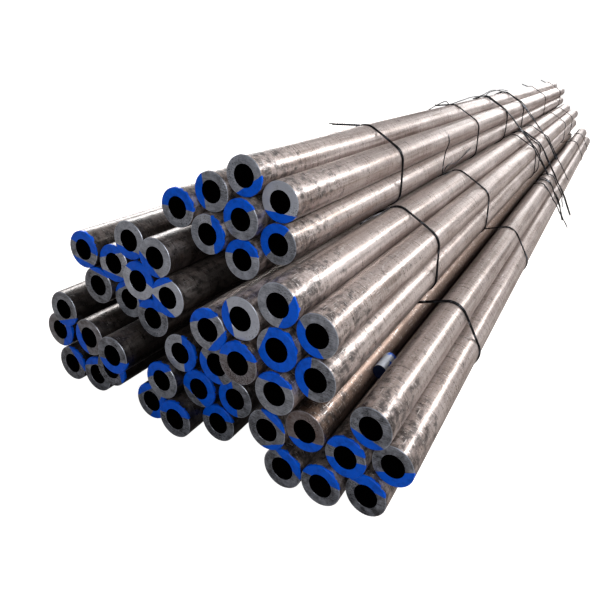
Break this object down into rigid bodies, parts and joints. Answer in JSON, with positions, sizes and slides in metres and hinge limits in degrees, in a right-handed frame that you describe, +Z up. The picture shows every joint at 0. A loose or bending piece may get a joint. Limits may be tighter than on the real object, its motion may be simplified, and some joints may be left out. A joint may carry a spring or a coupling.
{
  "type": "steel pipe bundle",
  "caption": "Wire-tied bundles of thick-walled round steel pipe heaped on a floor, saw-cut ends partly painted blue, with a short round bar on top.",
  "frame": {"origin": "on the floor under the middle of the heap", "axes": "+X to the right as the near ends are faced, +Y along the pipes from the near ends to the far ends, +Z up"},
  "size_m": [1.8708, 7.735, 1.121],
  "materials": {
    "mill_scale": "mill-scaled, lightly rusted",
    "tie_wire": "black annealed",
    "bright_bar": "bright turned, end painted blue"
  },
  "bodies": {
    "root": {"pipe_top_1": "mill_scale", "pipe_top_2": "mill_scale", "pipe_top_3": "mill_scale", "pipe_top_4": "mill_scale", "pipe_top_5": "mill_scale", "pipe_top_6": "mill_scale", "pipe_top_7": "mill_scale", "pipe_top_8": "mill_scale", "pipe_core_1": "mill_scale", "pipe_core_2": "mill_scale", "pipe_core_3": "mill_scale", "pipe_core_4": "mill_scale", "pipe_core_5": "mill_scale", "pipe_core_6": "mill_scale", "pipe_core_7": "mill_scale", "pipe_core_8": "mill_scale", "pipe_core_9": "mill_scale", "pipe_upper_1": "mill_scale", "pipe_upper_2": "mill_scale", "pipe_upper_3": "mill_scale", "pipe_upper_4": "mill_scale", "pipe_upper_5": "mill_scale", "pipe_upper_6": "mill_scale", "pipe_upper_7": "mill_scale", "pipe_upper_8": "mill_scale", "pipe_upper_9": "mill_scale", "pipe_mid_1": "mill_scale", "pipe_mid_2": "mill_scale", "pipe_mid_3": "mill_scale", "pipe_mid_4": "mill_scale", "pipe_mid_5": "mill_scale", "pipe_mid_6": "mill_scale", "pipe_mid_7": "mill_scale", "pipe_low_1": "mill_scale", "pipe_low_2": "mill_scale", "pipe_low_3": "mill_scale", "pipe_low_4": "mill_scale", "pipe_low_5": "mill_scale", "pipe_low_6": "mill_scale", "pipe_low_7": "mill_scale", "pipe_low_8": "mill_scale", "pipe_base_1": "mill_scale", "pipe_base_2": "mill_scale", "pipe_base_3": "mill_scale", "pipe_base_4": "mill_scale", "pipe_base_5": "mill_scale", "pipe_base_6": "mill_scale", "pipe_base_7": "mill_scale", "pipe_base_8": "mill_scale", "ties_top": "tie_wire", "ties_core": "tie_wire", "ties_upper": "tie_wire", "ties_mid": "tie_wire", "ties_low": "tie_wire", "ties_base": "tie_wire", "slings_top": "tie_wire", "slings_core": "tie_wire", "slings_base": "tie_wire", "offcut": "bright_bar"}
  },
  "joints": []
}
